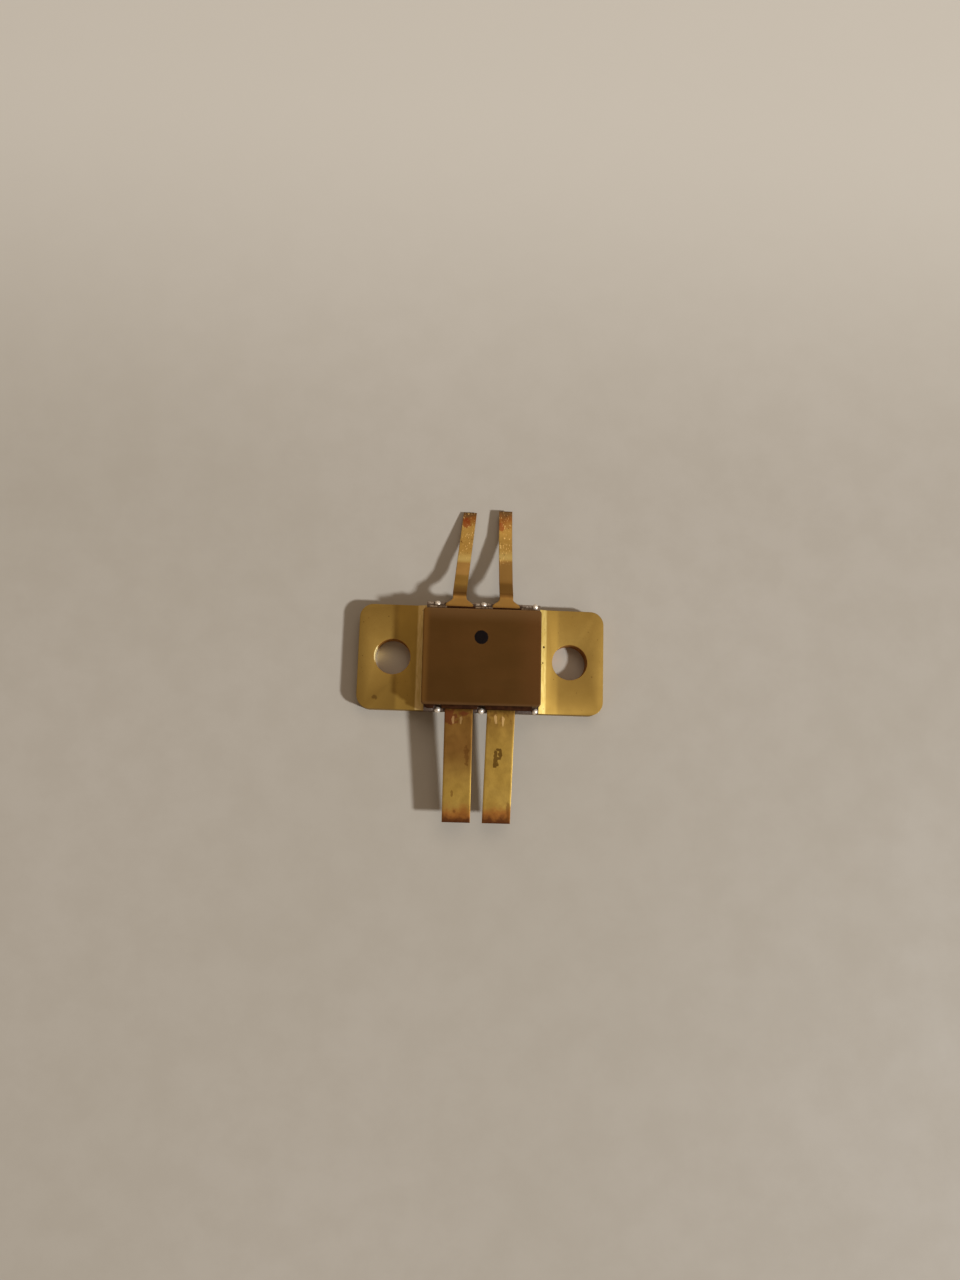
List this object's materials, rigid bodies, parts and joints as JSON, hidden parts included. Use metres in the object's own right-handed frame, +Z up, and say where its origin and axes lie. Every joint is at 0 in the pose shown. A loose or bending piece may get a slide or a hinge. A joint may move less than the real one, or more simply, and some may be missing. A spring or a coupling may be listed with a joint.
{
  "type": "flange-mounted RF power transistor",
  "caption": "Balanced silicon power transistor in a ceramic strip-line package on a gold-plated two-hole flange, with wide output leads and narrow bent input leads.",
  "frame": {"origin": "centre of the flange's flat bottom face", "axes": "+Z up from the seating face towards the lid, +Y along the narrow input leads, +X along the flange to the right"},
  "size_m": [0.0228, 0.0295, 0.0041],
  "materials": {
    "gold_plate": "matte gold plating on copper alloy",
    "lid_gold": "satin, darkened gold plating",
    "wide_lead_gold": "satin gold plating, coppery at the tips",
    "narrow_lead_gold": "brushed gold plating, tarnished at the tips",
    "gold_film": "matte gold film",
    "bond_wire": "bright gold wire",
    "silver_braze": "smooth bright braze",
    "base_ceramic": "matte grey-white ceramic",
    "frame_ceramic": "matte dark brown ceramic",
    "dark_glass": "dark sealing glass",
    "silicon": "polished silicon"
  },
  "bodies": {
    "root": {"flange": "gold_plate", "base_braze": "silver_braze", "ceramic_base": "base_ceramic", "ground_land": "gold_film", "collector_land_left": "gold_film", "collector_land_right": "gold_film", "base_land_left": "gold_film", "base_land_right": "gold_film", "collector_lead_left": "wide_lead_gold", "collector_lead_right": "wide_lead_gold", "base_lead_left": "narrow_lead_gold", "base_lead_right": "narrow_lead_gold", "ground_bead_front_left": "silver_braze", "ground_bead_front_middle": "silver_braze", "ground_bead_front_right": "silver_braze", "ground_bead_back_left": "silver_braze", "ground_bead_back_middle": "silver_braze", "ground_bead_back_right": "silver_braze", "transistor_die_left": "silicon", "transistor_die_right": "silicon", "emitter_bridge_left": "gold_film", "emitter_bridge_right": "gold_film", "near_capacitor_left": "silicon", "near_capacitor_right": "silicon", "far_capacitor_left": "silicon", "far_capacitor_right": "silicon", "emitter_wires_left": "bond_wire", "emitter_wires_right": "bond_wire", "die_wires_left": "bond_wire", "die_wires_right": "bond_wire", "link_wires_left": "bond_wire", "link_wires_right": "bond_wire", "input_wires_left": "bond_wire", "input_wires_right": "bond_wire", "sealing_glass": "dark_glass", "window_frame": "frame_ceramic", "lid_seal": "dark_glass", "lid": "lid_gold"}
  },
  "joints": []
}
